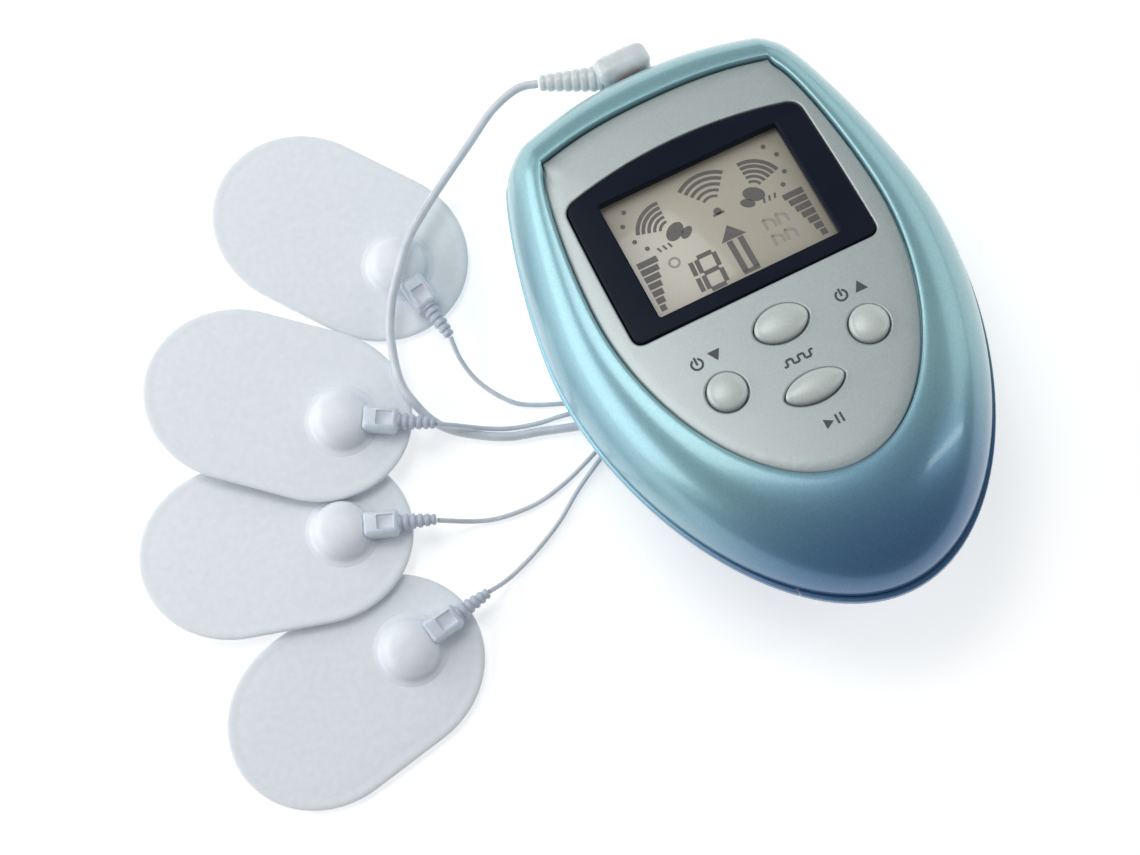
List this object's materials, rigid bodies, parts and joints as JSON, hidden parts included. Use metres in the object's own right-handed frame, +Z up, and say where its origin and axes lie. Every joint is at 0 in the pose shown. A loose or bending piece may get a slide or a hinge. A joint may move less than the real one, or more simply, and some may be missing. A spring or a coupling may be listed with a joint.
{
  "type": "nerve stimulation massager",
  "caption": "Hand-held nerve stimulation controller with display and push buttons, plug-in lead set and adhesive electrode pads with pin connectors.",
  "frame": {"origin": "on the table, below the middle of the controller and its pads together (the lead set is not counted)", "axes": "+Z up from the table; +Y towards the plug end of the controller; +X from the pads towards the controller"},
  "size_m": [0.1702, 0.1421, 0.0387],
  "materials": {
    "shell": "pearl blue moulded plastic with a soft metallic sheen",
    "plate": "silver-grey painted plastic",
    "window": "glossy near-black clear lens, printed behind",
    "button": "pearl silver plastic",
    "metal": "nickel-plated steel and brass",
    "lcd_glass": "liquid crystal glass with a beige reflector",
    "frame": "white moulded frame",
    "rubber": "silicone rubber",
    "board": "green glass-fibre circuit board",
    "cell": "steel can in a printed sleeve",
    "chip": "black moulded resin",
    "copper": "ferrite core with an enamelled copper winding",
    "connector": "translucent white moulded vinyl",
    "cord": "grey-lilac vinyl sleeve",
    "pad": "pale bluish white laminated backing film",
    "gel": "self-adhesive conductive gel"
  },
  "bodies": {
    "lead_set": {"plug_body": "connector", "plug_pin": "metal", "trunk_cable": "cord", "trunk_coil": "cord", "lead_splitter": "connector", "lead_coil": "cord", "lead_1": "cord", "lead_2": "cord", "lead_3": "cord", "lead_4": "cord", "connector_1": "connector", "connector_2": "connector", "connector_3": "connector", "connector_4": "connector", "connector_pin_1": "metal", "connector_pin_2": "metal", "connector_pin_3": "metal", "connector_pin_4": "metal"},
    "controller": {"front_shell": "shell", "rear_shell": "shell", "face_plate": "plate", "display_window": "window", "case_screw_1": "metal", "case_screw_2": "metal", "case_screw_3": "metal", "case_screw_4": "metal", "lcd_panel": "lcd_glass", "lcd_frame": "frame", "zebra_strip": "rubber", "main_board": "board", "rubber_keypad": "rubber", "battery_1": "cell", "battery_2": "cell", "battery_3": "cell", "battery_springs": "metal", "battery_plate": "metal", "jack_socket": "chip", "transformer": "copper", "driver_chip": "chip", "capacitor": "cell", "buzzer": "chip"},
    "battery_cover": {"battery_door": "shell"},
    "button_down": {"button_down": "button"},
    "button_up": {"button_up": "button"},
    "button_mode": {"button_mode": "button"},
    "button_start_pause": {"button_start_pause": "button"},
    "pad_1": {"pad_film_1": "pad", "pad_gel_1": "gel", "pad_dome_1": "pad"},
    "pad_2": {"pad_film_2": "pad", "pad_gel_2": "gel", "pad_dome_2": "pad"},
    "pad_3": {"pad_film_3": "pad", "pad_gel_3": "gel", "pad_dome_3": "pad"},
    "pad_4": {"pad_film_4": "pad", "pad_gel_4": "gel", "pad_dome_4": "pad"}
  },
  "joints": [
    {"name": "controller_unplug", "type": "slide", "parent": "lead_set", "child": "controller", "axis": [0, -0.9848, 0.1736], "range_m": [0, 0.0145]},
    {"name": "button_down_press", "type": "slide", "parent": "controller", "child": "button_down", "axis": [0, -0.1736, -0.9848], "range_m": [0, 0.0006], "stiffness_N_per_m": 300},
    {"name": "button_up_press", "type": "slide", "parent": "controller", "child": "button_up", "axis": [0, -0.1736, -0.9848], "range_m": [0, 0.0006], "stiffness_N_per_m": 300},
    {"name": "button_mode_press", "type": "slide", "parent": "controller", "child": "button_mode", "axis": [0, -0.1736, -0.9848], "range_m": [0, 0.0006], "stiffness_N_per_m": 300},
    {"name": "button_start_pause_press", "type": "slide", "parent": "controller", "child": "button_start_pause", "axis": [0, -0.1736, -0.9848], "range_m": [0, 0.0006], "stiffness_N_per_m": 300},
    {"name": "battery_door_slide", "type": "slide", "parent": "controller", "child": "battery_cover", "axis": [0, -0.9848, 0.1736], "range_m": [0, 0.012]},
    {"name": "pad_1_unplug", "type": "slide", "parent": "lead_set", "child": "pad_1", "axis": [-0.1564, 0.9877, 0], "range_m": [0, 0.0095]},
    {"name": "pad_2_unplug", "type": "slide", "parent": "lead_set", "child": "pad_2", "axis": [-0.8658, 0.5002, 0.0105], "range_m": [0, 0.0095]},
    {"name": "pad_3_unplug", "type": "slide", "parent": "lead_set", "child": "pad_3", "axis": [-0.9336, 0.3582, -0.0064], "range_m": [0, 0.0095]},
    {"name": "pad_4_unplug", "type": "slide", "parent": "lead_set", "child": "pad_4", "axis": [-0.9863, -0.165, 0], "range_m": [0, 0.0095]}
  ]
}
